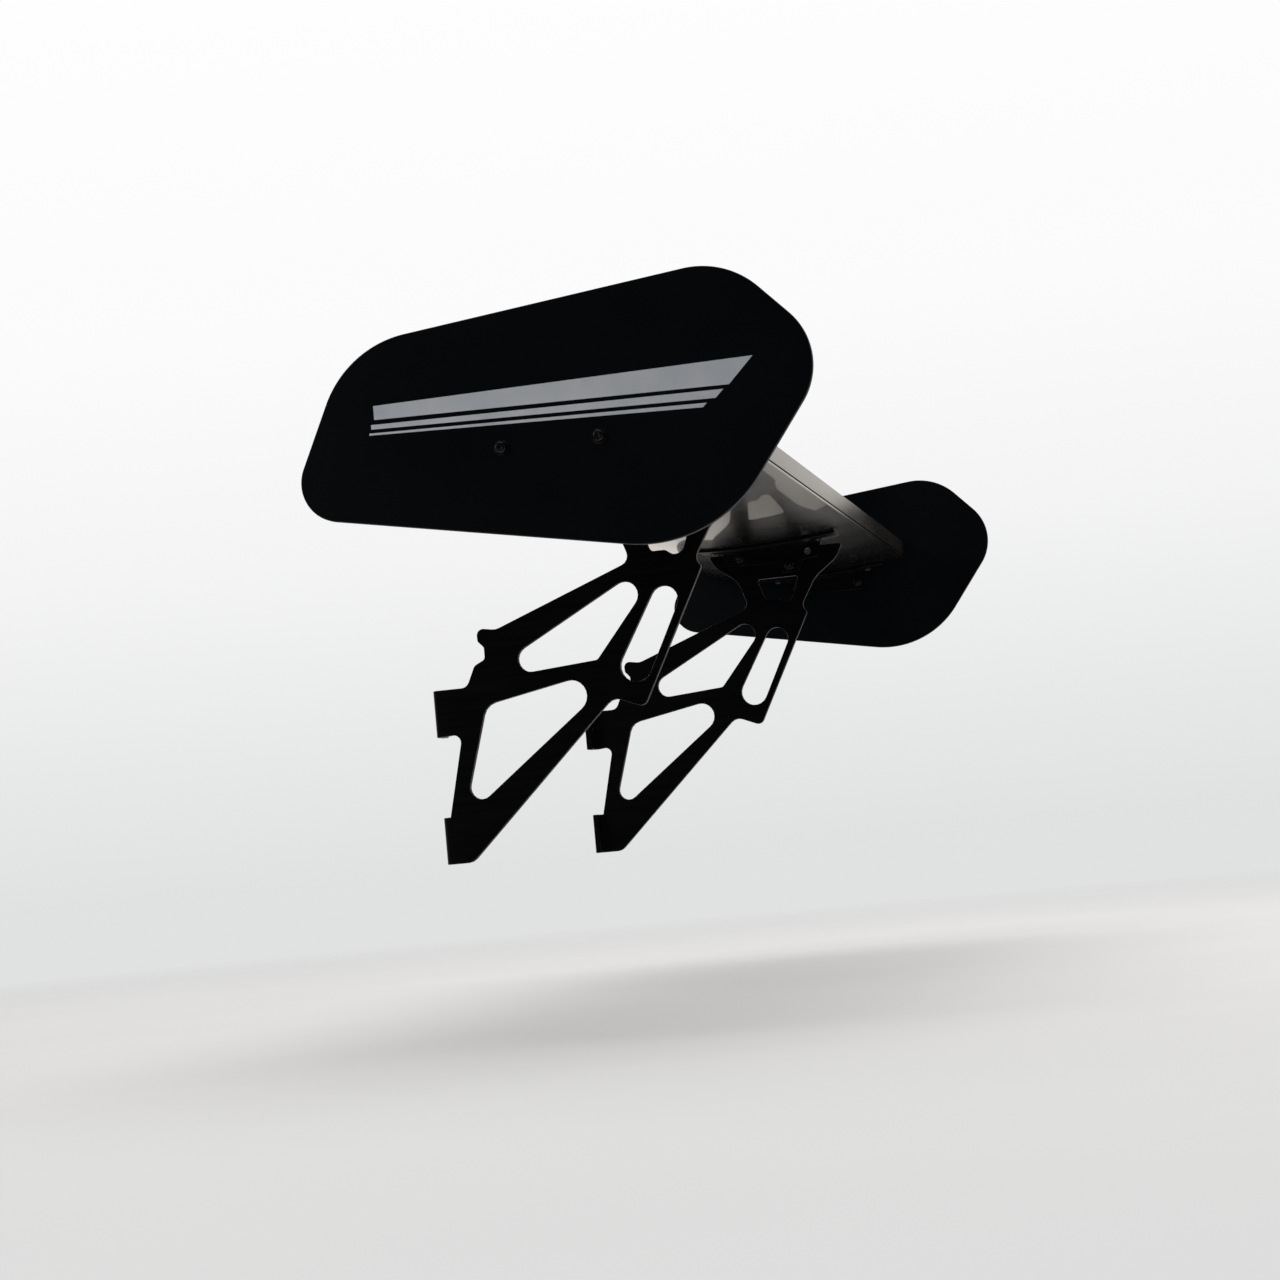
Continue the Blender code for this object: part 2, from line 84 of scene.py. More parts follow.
# Metres. Joins the CAD's close double points, which would make the rounded edges spike.
WELD_DISTANCE = 2.5e-4
FLAT_ANGLE = 0.5

# Fasteners, in millimetres. `head` is a head's height, `shank` a radius, and `key` half the socket's
# width over corners.
BOLT = {"head_radius": 5.25, "head": 3.3, "shank": 2.95, "key": 2.3, "pitch": 1.0}
SCREW = {"head_radius": 4.75, "head": 2.7, "shank": 2.45, "key": 1.7, "pitch": 0.8}
WASHER_RADIUS, WASHER_BORE, WASHER_THICKNESS, WASHER_EDGE = 6.0, 3.3, 1.2, 0.18
NUT_FLATS, NUT_BORE, NUT_HEIGHT, NUT_COUNTERSINK = 10.0, 3.1, 5.0, 0.4
# The nut's flat face as a share of its half width, and the angle in degrees that it stopped at.
NUT_FACE, NUT_TURN = 0.96, 11.0
HEAD_EDGE, PLAIN_SHANK, DRILL_TIP = 0.12, 1.2, 0.6
# Shares of the key's size, of the head's height and of the pitch.
SOCKET_RIM, SOCKET_DEPTH, THREAD_DEPTH = 1.28, 0.62, 0.45
TURNED_SIDES, WASHER_SIDES, NUT_SIDES = 48, 56, 72
# How far below its highest point a CAD screw's tip is read, and how many points its head's far face has.
SCREW_TIP, HEAD_POINTS = 1.2, 6

# The plain silver stripes on the end plates' outer faces: (start, end) of each centre line, and half widths.
STRIPES = (
    ((94, 354.5), (386, 352.5), 5.5, 10.0),
    ((91, 343.5), (368, 336.5), 1.8, 3.2),
    ((89, 338), (356, 329), 0.8, 1.6),
)
STRIPE_THICKNESS = 0.12
FILM_GAP = 0.02

# The photographer's camera.
CAMERA_PLACE = (2.8856, 0.72672, -0.00823)
CAMERA_AZIMUTH, CAMERA_ELEVATION, CAMERA_ROLL = 101.5958, -4.3032, -5.2152
CAMERA_LENS, CAMERA_SENSOR = 80.58, 36.0

# The studio, in metres and watts.
STUDIO_CENTRE = (0, 0.2, 0.2)
FLOOR_DROP = 0.15
FLOOR_RINGS = (1.0, 2.2, 4.0, 6.0, 9.0, 14.0)
FLOOR_SIDES = 40
SOFTBOXES = (
    # name, place, size, power, colour
    ("overhead", (-0.3, 0.25, 3.2), (4.2, 4.2), 70, (1, 1, 1)),
    ("side_fill", (3.2, -1.9, 1.5), (1.2, 1.2), 16, (1, 1, 1)),
    ("rear_fill", (-0.8, 3.2, 1.6), (2.4, 1.6), 24, (1.0, 0.97, 0.93)),
)

# The world's gradients, as (position, colour) stops between two values of a direction's X or Z: the backdrop
# that the camera sees, by height, the light from the car's right to its left, and the ground's shade.
BACKDROP_HEIGHTS = (-0.1, 0.5)
BACKDROP = (
    (0.0, (0.745, 0.75, 0.752)),
    (0.17, (0.75, 0.755, 0.757)),
    (0.25, (0.81, 0.815, 0.817)),
    (0.35, (0.90, 0.903, 0.904)),
    (0.48, (0.965, 0.966, 0.966)),
    (0.67, (0.99, 0.99, 0.99)),
)
LIGHTING = (
    (0.0, (0.98, 0.93, 0.87)),
    (0.35, (0.7, 0.68, 0.66)),
    (0.6, (0.22, 0.23, 0.24)),
    (1.0, (0.06, 0.065, 0.08)),
)
GROUND_HEIGHTS = (-0.15, -0.07)
GROUND = ((0.0, (0.30, 0.29, 0.28)), (1.0, (1.0, 1.0, 1.0)))


# ---------------------------------------------------------------- outlines, in (Y, Z) millimetres


def circle(centre, radius, count=TURNED_SIDES):
    y, z = centre
    angles = [2 * pi * i / count for i in range(count)]
    return [(y + radius * cos(angle), z + radius * sin(angle)) for angle in angles]


def hexagon_reach(apothem, angle):
    """How far a hexagon's side is from its centre, in the angle's direction."""
    return apothem / cos(angle % (pi / 3) - pi / 6)


def belt(circles, step=2.0):
    """Outline of a belt round the circles, anticlockwise."""
    angles = []
    for (ay, az, ar), (by, bz, br) in zip(circles, circles[1:] + circles[:1]):
        run = hypot(by - ay, bz - az)
        angles.append(atan2(bz - az, by - ay) + asin((ar - br) / run))
    points = []
    for i, (y, z, radius) in enumerate(circles):
        start = angles[i - 1]
        turn = (angles[i] - start) % (2 * pi)
        count = max(1, ceil(turn / radians(step)))
        for k in range(count + 1):
            heading = start + turn * k / count
            points.append((y + radius * sin(heading), z - radius * cos(heading)))
    return points


class Section:
    """The inverted aerofoil, by chord station: side -1 is the underside and 1 the top."""

    def __init__(self):
        self.nose = Vector(NOSE)
        run = Vector(TAIL) - self.nose
        self.chord = run.length
        self.along = run.normalized()
        self.up = Vector((-self.along.y, self.along.x))

    def camber(self, x):
        m, p = CAMBER, CAMBER_PLACE
        part = p if x < p else 1 - p
        ahead = 2 * p * x - x * x + (0 if x < p else 1 - 2 * p)
        return m / part**2 * ahead, 2 * m / part**2 * (p - x)

    def half_thickness(self, x):
        shape = 0.2969 * sqrt(x) - 0.126 * x - 0.3516 * x**2 + 0.2843 * x**3 - 0.1036 * x**4
        return 5 * THICKNESS * shape * self.chord + TAIL_THICKNESS / 2 * x

    def point(self, x, side, inset=0.0):
        depth, slope = self.camber(x)
        mean = self.nose + self.along * (x * self.chord) - self.up * (depth * self.chord)
        across = (self.up + self.along * slope).normalized()
        return tuple(mean + across * side * (self.half_thickness(x) - inset))

    def loop(self, start, end, inset=0.0):
        """Along the underside and back along the top, with the stations closest at the nose."""
        first, last = sqrt(start), sqrt(end)
        step = (last - first) / SECTION_STEPS
        stations = [(first + step * i) ** 2 for i in range(SECTION_STEPS + 1)]
        under = [self.point(x, -1, inset) for x in stations]
        over = [self.point(x, 1, inset) for x in reversed(stations)]
        if start == 0.0:
            over.pop()
        return under + over


SECTION = Section()


# ---------------------------------------------------------------- meshes


def smooth_by_angle(mesh, angle=28.0):
    """Smooth faces, with every edge over the angle kept sharp."""
    work = bmesh.new()
    work.from_mesh(mesh)
    for face in work.faces:
        face.smooth = True
    for edge in work.edges:
        edge.smooth = len(edge.link_faces) == 2 and edge.calc_face_angle(0.0) < radians(angle)
    work.to_mesh(mesh)
    work.free()


def finished(work, name):
    """The bmesh as a new mesh, with its faces turned outward."""
    bmesh.ops.recalc_face_normals(work, faces=work.faces)
    mesh = bpy.data.meshes.new(name)
    work.to_mesh(mesh)
    work.free()
    return mesh


def ring_of(work, x, outline):
    """Vertices at one X in millimetres, round an outline of (Y, Z) points."""
    return [work.verts.new((x * MM, y * MM, z * MM)) for y, z in outline]


def bridge(work, first, second):
    """Quads between two closed rings with as many vertices."""
    for i in range(len(first)):
        n = (i + 1) % len(first)
        work.faces.new((first[i], first[n], second[n], second[i]))


def place_piece(name, mesh, looks, body, stands_for=()):
    piece = bpy.data.objects.new(name, mesh)
    bpy.context.scene.collection.objects.link(piece)
    for look in looks:
        mesh.materials.append(look)
    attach(piece, body)
    if stands_for:
        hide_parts(*stands_for)
    return piece


def soften(piece, width, edge_slot, segments=2):
    """Rounds the hard edges, in the edge slot's material, with normals that keep the flat faces flat."""
    bevel = piece.modifiers.new("edge_round", "BEVEL")
    bevel.width = width * MM
    bevel.segments = segments
    bevel.limit_method = "ANGLE"
    bevel.angle_limit = radians(30)
    bevel.harden_normals = True
    bevel.use_clamp_overlap = False
    bevel.material = edge_slot


def extruded(name, loops, x_from, x_to):
    """A plate whose (Y, Z) outline and holes run from one X to another."""
    curve = bpy.data.curves.new(name, "CURVE")
    curve.dimensions = "2D"
    curve.fill_mode = "BOTH"
    curve.extrude = abs(x_to - x_from) / 2 * MM
    for loop in loops:
        spline = curve.splines.new("POLY")
        spline.points.add(len(loop) - 1)
        for place, (y, z) in zip(spline.points, loop):
            place.co = (y * MM, z * MM, 0, 1)
        spline.use_cyclic_u = True
    holder = bpy.data.objects.new(name, curve)
    mesh = bpy.data.meshes.new_from_object(holder)
    bpy.data.objects.remove(holder)
    bpy.data.curves.remove(curve)
    middle = (x_from + x_to) / 2 * MM
    mesh.transform(Matrix(((0, 0, 1, middle), (1, 0, 0, 0), (0, 1, 0, 0), (0, 0, 0, 1))))
    mesh.name = name
    work = bmesh.new()
    work.from_mesh(mesh)
    bmesh.ops.remove_doubles(work, verts=work.verts, dist=1e-6)
    bmesh.ops.dissolve_limit(work, angle_limit=radians(0.05), verts=work.verts, edges=work.edges)
    bmesh.ops.recalc_face_normals(work, faces=work.faces)
    for face in work.faces:
        face.smooth = True
    work.to_mesh(mesh)
    work.free()
    return mesh


def wing_mesh(half):
    """The hollow skin, with a UV map in metres: across the span, and round the section from the nose.

    Its first material is the lacquered cloth, and its second the trimmed face of the tail.
    """
    outer = SECTION.loop(0.0, 1.0)
    inner = SECTION.loop(*HOLLOW, SKIN)
    work = bmesh.new()
    uv = work.loops.layers.uv.new("cloth")
    stations = [-half + 2 * half * i / SPAN_STEPS for i in range(SPAN_STEPS + 1)]

    def skin(loop):
        rows = [[work.verts.new((x, y * MM, z * MM)) for y, z in loop] for x in stations]
        travel = [0.0]
        for a, b in zip(loop, loop[1:] + loop[:1]):
            travel.append(travel[-1] + hypot(b[0] - a[0], b[1] - a[1]) * MM)
        for i, (row, after) in enumerate(zip(rows, rows[1:])):
            for k in range(len(loop)):
                n = (k + 1) % len(loop)
                face = work.faces.new((row[k], row[n], after[n], after[k]))
                face.smooth = True
                at_tail = k == SECTION_STEPS
                face.material_index = int(at_tail)
                marks = ((i, k), (i, k + 1), (i + 1, k + 1), (i + 1, k))
                for corner, (a, b) in zip(face.loops, marks):
                    corner[uv].uv = (stations[a], travel[b])
        return rows

    outside, inside = skin(outer), skin(inner)
    for outside_row, inside_row in ((outside[0], inside[0]), (outside[-1], inside[-1])):
        edges = []
        for row in (outside_row, inside_row):
            for a, b in zip(row, row[1:] + row[:1]):
                edges.append(work.edges.get((a, b)))
        bmesh.ops.bridge_loops(work, edges=edges)
    mesh = finished(work, "wing_skin")
    smooth_by_angle(mesh, 40.0)
    return mesh


def rounded(corners, steps=6):
    """The closed outline of (y, z, radius) corners with each one rounded."""
    points = []
    count = len(corners)
    for i, (y, z, radius) in enumerate(corners):
        here = Vector((y, z))
        before = (Vector(corners[i - 1][:2]) - here).normalized()
        after = (Vector(corners[(i + 1) % count][:2]) - here).normalized()
        opening = before.angle(after)
        reach = radius / abs(sin(opening / 2)) * cos(opening / 2)
        centre = here + (before + after).normalized() * (radius / sin(opening / 2))
        start = here + before * reach - centre
        turn = start.angle_signed(here + after * reach - centre)
        for k in range(steps + 1):
            arm = start.copy()
            arm.rotate(Matrix.Rotation(-turn * k / steps, 2))
            points.append(tuple(centre + arm))
    return points


def on_tail(points):
    """Places (forward, up) points from the tail's upper corner, along the wing's top."""
    corner = Vector(SECTION.point(1.0, 1))
    forward = (Vector(SECTION.point(0.95, 1)) - corner).normalized()
    up = Vector((forward.y, -forward.x))
    return [tuple(corner + forward * along + up * rise) for along, rise in points]


def gurney_loop():
    """The angle strip's section: its foot lies on the tail's top, and its blade stands up at the back."""
    sheet, gap = GURNEY["sheet"], GURNEY["gap"]
    profile = (
        (0, gap, 0.6),
        (0, GURNEY["height"], 0.7),
        (sheet, GURNEY["height"], 0.7),
        (sheet, gap + sheet, 1.6),
        (GURNEY["foot"], gap + sheet, 0.6),
        (GURNEY["foot"], gap, 0.3),
    )
    return on_tail(rounded(profile))


def bead_loop():
    """The thin dark line of adhesive between the strip and the tail, squeezed out a little at the back."""
    front = GURNEY["foot"]
    corners = (
        (0.3, -0.85),
        (-0.04, -0.85),
        (-0.12, 0.1),
        (-0.04, 1.0),
        (0.3, 1.0),
        (0.6, 0.3),
        (front - 0.3, 0.3),
        (front + 0.1, 0.9),
        (front + 1.3, 0.02),
        (front, -0.1),
        (0.6, -0.1),
    )
    return on_tail(corners)


def turned(name, profile, count=TURNED_SIDES):
    """Turned about +X from (x, radius) points in millimetres. A point on the axis closes its end."""
    work = bmesh.new()
    rings = []
    for x, radius in profile:
        if radius == 0:
            rings.append([work.verts.new((x * MM, 0, 0))])
        else:
            rings.append(ring_of(work, x, circle((0, 0), radius, count)))
    for first, second in zip(rings, rings[1:]):
        for i in range(count):
            corners = [first[i % len(first)], first[(i + 1) % len(first)]]
            corners += [second[(i + 1) % len(second)], second[i % len(second)]]
            work.faces.new(dict.fromkeys(corners))
    return finished(work, name)


def joined(name, meshes):
    work = bmesh.new()
    for mesh in meshes:
        work.from_mesh(mesh)
        bpy.data.meshes.remove(mesh)
    mesh = bpy.data.meshes.new(name)
    work.to_mesh(mesh)
    work.free()
    smooth_by_angle(mesh)
    return mesh


def socket_mesh(key, rim, depth, front):
    """The hexagonal socket: a flat ring from the round rim to the hexagon, its walls, and its floor."""
    count = TURNED_SIDES
    hexagon = []
    for i in range(count):
        angle = 2 * pi * i / count
        reach = hexagon_reach(key * cos(pi / 6), angle)
        hexagon.append((reach * cos(angle), reach * sin(angle)))
    work = bmesh.new()
    around = ring_of(work, front, circle((0, 0), rim, count))
    mouth, bottom = (ring_of(work, x, hexagon) for x in (front, front + depth))
    bridge(work, around, mouth)
    bridge(work, mouth, bottom)
    tip = work.verts.new(((front + depth + DRILL_TIP) * MM, 0, 0))
    for i in range(count):
        work.faces.new((bottom[i], bottom[(i + 1) % count], tip))
    bmesh.ops.recalc_face_normals(work, faces=work.faces)
    if work.faces[0].normal.x > 0:
        bmesh.ops.reverse_faces(work, faces=work.faces)
    mesh = bpy.data.meshes.new("socket")
    work.to_mesh(mesh)
    work.free()
    return mesh


def button_bolt_mesh(name, size, length):
    """A button-head socket bolt along +X: its head's underside at 0, its rolled thread up to `length`."""
    head, head_radius, shank, pitch = (size[key] for key in ("head", "head_radius", "shank", "pitch"))
    rim = size["key"] * SOCKET_RIM
    shape = [(-head, rim)]
    for i in range(1, 9):
        angle = pi / 2 * i / 8
        shape.append((-head * cos(angle), rim + (head_radius - rim) * sin(angle)))
    shape += [(-HEAD_EDGE, head_radius), (0, head_radius - HEAD_EDGE), (0, shank), (PLAIN_SHANK, shank)]
    x = PLAIN_SHANK
    while x + pitch < length - 0.8:
        root = (x + pitch * 0.5, shank - THREAD_DEPTH * pitch)
        shape += [root, (x + pitch * 0.88, shank), (x + pitch, shank)]
        x += pitch
    shape += [(length - 0.6, shank - 0.3), (length, shank - 0.9), (length, 0)]
    socket = socket_mesh(size["key"], rim, head * SOCKET_DEPTH, -head)
    return joined(name, [turned(name, shape), socket])


def washer_mesh():
    half, edge = WASHER_THICKNESS / 2, WASHER_EDGE
    radius, bore = WASHER_RADIUS, WASHER_BORE
    profile = (
        (-half, bore + edge),
        (-half, radius - edge),
        (-half + edge, radius),
        (half - edge, radius),
        (half, radius - edge),
        (half, bore + edge),
        (half - edge, bore),
        (-half + edge, bore),
    )
    work = bmesh.new()
    rings = [ring_of(work, x, circle((0, 0), r, WASHER_SIDES)) for x, r in profile]
    for first, second in zip(rings, rings[1:] + rings[:1]):
        bridge(work, first, second)
    mesh = finished(work, "washer")
    smooth_by_angle(mesh)
    return mesh


def nut_mesh():
    """A hexagon nut with its corners turned down at both faces and a countersunk bore."""
    apothem, corner = NUT_FLATS / 2, NUT_FLATS / sqrt(3)
    half = NUT_HEIGHT / 2
    face = apothem * NUT_FACE
    drop = (corner - face) * 0.5
    mouth = NUT_BORE + NUT_COUNTERSINK
    levels = [(-half, mouth), (-half, face)]
    levels += [(-half + drop * k / 3, face + (corner - face) * k / 3) for k in (1, 2, 3)]
    levels += [(half - drop * k / 3, face + (corner - face) * k / 3) for k in (3, 2, 1)]
    levels += [(half, face), (half, mouth)]
    levels += [(half - NUT_COUNTERSINK, NUT_BORE), (-half + NUT_COUNTERSINK, NUT_BORE)]
    work = bmesh.new()
    rings = []
    for x, limit in levels:
        outline = []
        for i in range(NUT_SIDES):
            angle = 2 * pi * i / NUT_SIDES
            radius = min(hexagon_reach(apothem, angle), limit)
            outline.append((radius * cos(angle), radius * sin(angle)))
        rings.append(ring_of(work, x, outline))
    for first, second in zip(rings, rings[1:] + rings[:1]):
        bridge(work, first, second)
    mesh = finished(work, "nut")
    smooth_by_angle(mesh)
    return mesh


def stripe_mesh(side, face):
    """Plain tapered stripes cut from thin film, on an end plate's outer face."""
    work = bmesh.new()
    for (y0, z0), (y1, z1), narrow, wide in STRIPES:
        start, end = Vector((y0, z0)), Vector((y1, z1))
        run = (end - start).normalized()
        across = Vector((-run.y, run.x))
        slant = run * wide
        corners = (
            start - across * narrow,
            end - across * wide - slant,
            end + across * wide + slant,
            start + across * narrow,
        )
        bottom = [work.verts.new((side * face, p.x * MM, p.y * MM)) for p in corners]
        top = [work.verts.new((side * (face + STRIPE_THICKNESS * MM), p.x * MM, p.y * MM)) for p in corners]
        work.faces.new(top)
        work.faces.new(bottom[::-1])
        bridge(work, bottom, top)
    return finished(work, "stripe")


# ---------------------------------------------------------------- materials


class Look:
    """A node material in the making: the shader, and short calls for the nodes that feed it."""

    def __init__(self, name, **constants):
        self.material = bpy.data.materials.new(name)
        self.material.use_nodes = True
        self.tree = self.material.node_tree
        self.shader = self.tree.nodes["Principled BSDF"]
        for socket, value in constants.items():
            self.shader.inputs[socket.replace("_", " ")].default_value = value

    def node(self, kind, inputs=(), **settings):
        made = self.tree.nodes.new("ShaderNode" + kind)
        for key, value in settings.items():
            setattr(made, key, value)
        for socket, value in dict(inputs).items():
            self.feed(made.inputs[socket], value)
        return made

    def feed(self, socket, value):
        if isinstance(value, bpy.types.NodeSocket):
            self.tree.links.new(value, socket)
        else:
            socket.default_value = value

    def math(self, operation, a, b=0.0):
        return self.node("Math", {0: a, 1: b}, operation=operation).outputs[0]

    def place(self):
        return self.node("TexCoord").outputs["Object"]

    def noise(self, scale, detail=3.0, stretch=(1, 1, 1)):
        mapped = self.node("Mapping", {"Vector": self.place(), "Scale": stretch}).outputs[0]
        return self.node("TexNoise", {"Vector": mapped, "Scale": scale, "Detail": detail}).outputs["Fac"]

    def spread(self, value, low, high, start=0.3, end=0.7):
        ranged = {"Value": value, "From Min": start, "From Max": end, "To Min": low, "To Max": high}
        return self.node("MapRange", ranged).outputs[0]

    def blend(self, factor, a, b):
        made = self.node("Mix", data_type="RGBA")
        self.feed(made.inputs[0], factor)
        for index, colour in ((6, a), (7, b)):
            self.feed(made.inputs[index], (*colour, 1) if isinstance(colour, tuple) else colour)
        return made.outputs[2]

    def bump(self, height, distance, strength):
        return self.node("Bump", {"Height": height, "Distance": distance, "Strength": strength}).outputs[0]

    def done(self, colour, roughness, normal=None):
        self.feed(self.shader.inputs["Base Color"], colour)
        self.feed(self.shader.inputs["Roughness"], roughness)
        if normal is not None:
            self.feed(self.shader.inputs["Normal"], normal)
        return self.material


def twill(look, tow):
    """(mask of warp on top, height of the tows) for a 2x2 twill laid along the cloth UV map."""
    uv = look.node("UVMap", uv_map="cloth").outputs[0]
    parts = look.node("SeparateXYZ", {0: uv}).outputs
    u, v = look.math("DIVIDE", parts[0], tow), look.math("DIVIDE", parts[1], tow)
    diagonal = look.math("ADD", look.math("FLOOR", u), look.math("FLOOR", v))
    warp = look.math("LESS_THAN", look.math("FLOORED_MODULO", diagonal, 4.0), 1.5)
    crown_u = look.math("SINE", look.math("MULTIPLY", look.math("FRACT", u), pi))
    crown_v = look.math("SINE", look.math("MULTIPLY", look.math("FRACT", v), pi))
    warped = look.math("MULTIPLY", crown_u, warp)
    wefted = look.math("MULTIPLY", crown_v, look.math("SUBTRACT", 1.0, warp))
    return warp, look.math("ADD", warped, wefted)


def gloss_carbon():
    look = Look("gloss_twill_carbon", Coat_Weight=0.55, Coat_Roughness=0.02, Coat_IOR=1.5)
    look.shader.inputs["Coat Tint"].default_value = (1.0, 0.985, 0.96, 1)
    warp, height = twill(look, 0.0022)
    # Warp and weft are one fibre in two tones: a painted sheen, the lighter tone standing in for how each
    # tow's direction catches the light.
    painted_sheen_tows = look.blend(warp, (0.0030, 0.0030, 0.0031), (0.0038, 0.0037, 0.0037))
    # Each tow darkens towards its edges by its crown height: painted shade in the creases between the tows.
    colour = look.blend(look.spread(height, 0.75, 1.0, 0.0, 1.0), (0.0020, 0.0020, 0.0020), painted_sheen_tows)
    crossings = look.spread(warp, 0.0, 0.03, 0.0, 1.0)
    weave = look.math("ADD", crossings, look.spread(height, 0.015, 0.0, 0.0, 1.0))
    roughness = look.math("ADD", weave, look.spread(look.noise(14, 3.0), 0.17, 0.22))
    return look.done(colour, roughness, look.bump(look.noise(9, 1.0), 0.0004, 0.12))


def satin_carbon():
    look = Look("satin_carbon_strip", Specular_IOR_Level=0.27, Specular_Tint=(1.0, 0.94, 0.87, 1))
    streaks = look.noise(60, 4.0, (0.12, 1, 1))
    marks = look.noise(3.2, 2.0, (1, 0.2, 0.2))
    colour = look.blend(look.spread(streaks, 0.0, 1.0), (0.012, 0.0108, 0.0098), (0.024, 0.021, 0.019))
    smudges = look.spread(look.noise(55, 3.0, (1, 0.15, 0.15)), 0.0, 0.1, 0.6, 0.74)
    roughness = look.math("ADD", look.spread(marks, 0.13, 0.17), look.spread(streaks, 0.0, 0.02))
    roughness = look.math("ADD", roughness, smudges)
    return look.done(colour, roughness, look.bump(look.noise(1400, 2.0), 0.00001, 0.15))


def satin_plate():
    look = Look("satin_black_laminate", Specular_IOR_Level=0.07)
    cloud = look.noise(7, 3.0)
    peel = look.noise(420, 2.0)
    scuffs = look.noise(160, 5.0, (1, 0.06, 1))
    colour = look.blend(look.spread(cloud, 0.0, 1.0), (0.0008, 0.0016, 0.0024), (0.0016, 0.0028, 0.0040))
    worn = look.blend(look.spread(scuffs, 0.0, 0.5, 0.66, 0.78), colour, (0.006, 0.0066, 0.0078))
    roughness = look.math("ADD", look.spread(cloud, 0.34, 0.42), look.spread(peel, 0.0, 0.06))
    return look.done(worn, roughness, look.bump(peel, 0.00003, 0.35))


def plate_edge():
    """The plate's rounded rim, where the laminate was cut and sanded."""
    look = Look("sanded_plate_rim", Specular_IOR_Level=0.3)
    plies = look.noise(1500, 1.0, (1, 0.02, 0.02))
    colour = look.blend(look.spread(plies, 0.0, 1.0), (0.0035, 0.0038, 0.0044), (0.012, 0.0125, 0.0135))
    return look.done(colour, look.spread(plies, 0.42, 0.55), look.bump(plies, 0.00003, 0.4))


def anodised(name, tone=1.0):
    look = Look(name, Metallic=0.25, Specular_IOR_Level=0.05)
    brushed = look.noise(240, 4.0, (1, 0.05, 1))
    cloud = look.noise(9, 3.0)
    dark = tuple(tone * c for c in (0.0010, 0.0010, 0.0011))
    light = tuple(tone * c for c in (0.0034, 0.0034, 0.0036))
    colour = look.blend(look.spread(brushed, 0.0, 1.0), dark, light)
    roughness = look.math("ADD", look.spread(cloud, 0.34, 0.44), look.spread(brushed, -0.03, 0.05))
    return look.done(colour, roughness, look.bump(brushed, 0.00002, 0.3))


def machined_edge_painted_highlight():
    """The broken edges of the cut plates: a lighter metal than the faces, partly where the anodising is thin
    and partly a painted highlight along the edges.
    """
    look = Look("machined_edge_painted_highlight", Metallic=1.0)
    wear = look.noise(70, 4.0)
    ticks = look.noise(700, 1.0, (0.1, 1, 1))
    # The lighter metal that the wear noise lets through is partly worn edge and partly a painted highlight
    # along the edges.
    colour = look.blend(look.spread(wear, 0.0, 1.0, 0.4, 0.66), (0.004, 0.004, 0.0045), (0.045, 0.043, 0.041))
    return look.done(colour, look.spread(ticks, 0.26, 0.44), look.bump(ticks, 0.00002, 0.3))


def steel(name, dark, light, rough):
    look = Look(name, Metallic=1.0)
    wear = look.noise(260, 4.0)
    fine = look.noise(2400, 2.0)
    colour = look.blend(look.spread(wear, 0.0, 1.0, 0.35, 0.7), dark, light)
    return look.done(colour, look.spread(wear, *rough), look.bump(fine, 0.00001, 0.35))


def resin():
    look = Look("filled_resin")
    grains = look.noise(900, 3.0)
    colour = look.blend(look.spread(grains, 0.0, 1.0), (0.05, 0.05, 0.047), (0.13, 0.128, 0.12))
    return look.done(colour, look.spread(grains, 0.5, 0.7), look.bump(grains, 0.00008, 0.5))


def sealant():
    look = Look("black_adhesive", Specular_IOR_Level=0.0)
    lumps = look.noise(300, 2.0)
    colour = look.blend(look.spread(lumps, 0.0, 1.0), (0.001, 0.001, 0.001), (0.004, 0.0038, 0.0036))
    return look.done(colour, look.spread(lumps, 0.7, 0.9), look.bump(lumps, 0.0001, 0.5))


def silver_film():
    look = Look("silver_film", Metallic=0.25, Specular_IOR_Level=0.3)
    flakes = look.noise(1800, 2.0)
    cloud = look.noise(25, 3.0)
    colour = look.blend(look.spread(cloud, 0.0, 1.0), (0.66, 0.69, 0.72), (0.80, 0.82, 0.84))
    return look.done(colour, look.spread(flakes, 0.34, 0.5), look.bump(flakes, 0.00001, 0.3))


def floor_look():
    look = Look("pale_floor", Specular_IOR_Level=0.2)
    mottle = look.noise(2.5, 3.0)
    colour = look.blend(look.spread(mottle, 0.0, 1.0), (0.80, 0.805, 0.81), (0.83, 0.832, 0.835))
    reach = look.node("VectorMath", {0: look.place()}, operation="LENGTH").outputs["Value"]
    fade = look.spread(reach, 1.0, 0.0, 0.9, 3.2)
    above = look.math("SUBTRACT", 1.0, look.node("NewGeometry").outputs["Backfacing"])
    look.feed(look.shader.inputs["Alpha"], look.math("MULTIPLY", fade, above))
    return look.done(colour, look.spread(mottle, 0.7, 0.85))


# ---------------------------------------------------------------- the object


def relook(node, looks):
    """A CAD node's own material slots take the looks, first its faces and then its rounded edges."""
    mesh = node.data
    while len(mesh.materials) < len(looks):
        mesh.materials.append(None)
    for index, look in enumerate(looks):
        mesh.materials[index] = look


def dress_cut_part(name, looks, edge):
    """A CAD plate stays: its flat faces made whole, its edges broken, and its faces relooked."""
    node = NODES[name]
    relook(node, looks)
    normals = node.data.attributes.get("custom_normal")
    if normals:
        node.data.attributes.remove(normals)
    for face in node.data.polygons:
        face.use_smooth = True
        face.material_index = 0
    weld = node.modifiers.new("weld", "WELD")
    weld.merge_threshold = WELD_DISTANCE
    whole = node.modifiers.new("whole_faces", "DECIMATE")
    whole.decimate_type = "DISSOLVE"
    whole.angle_limit = radians(FLAT_ANGLE)
    soften(node, edge, len(looks) - 1)


def centre_of(node):
    low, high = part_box(node)
    return (Vector(low) + Vector(high)) / 2


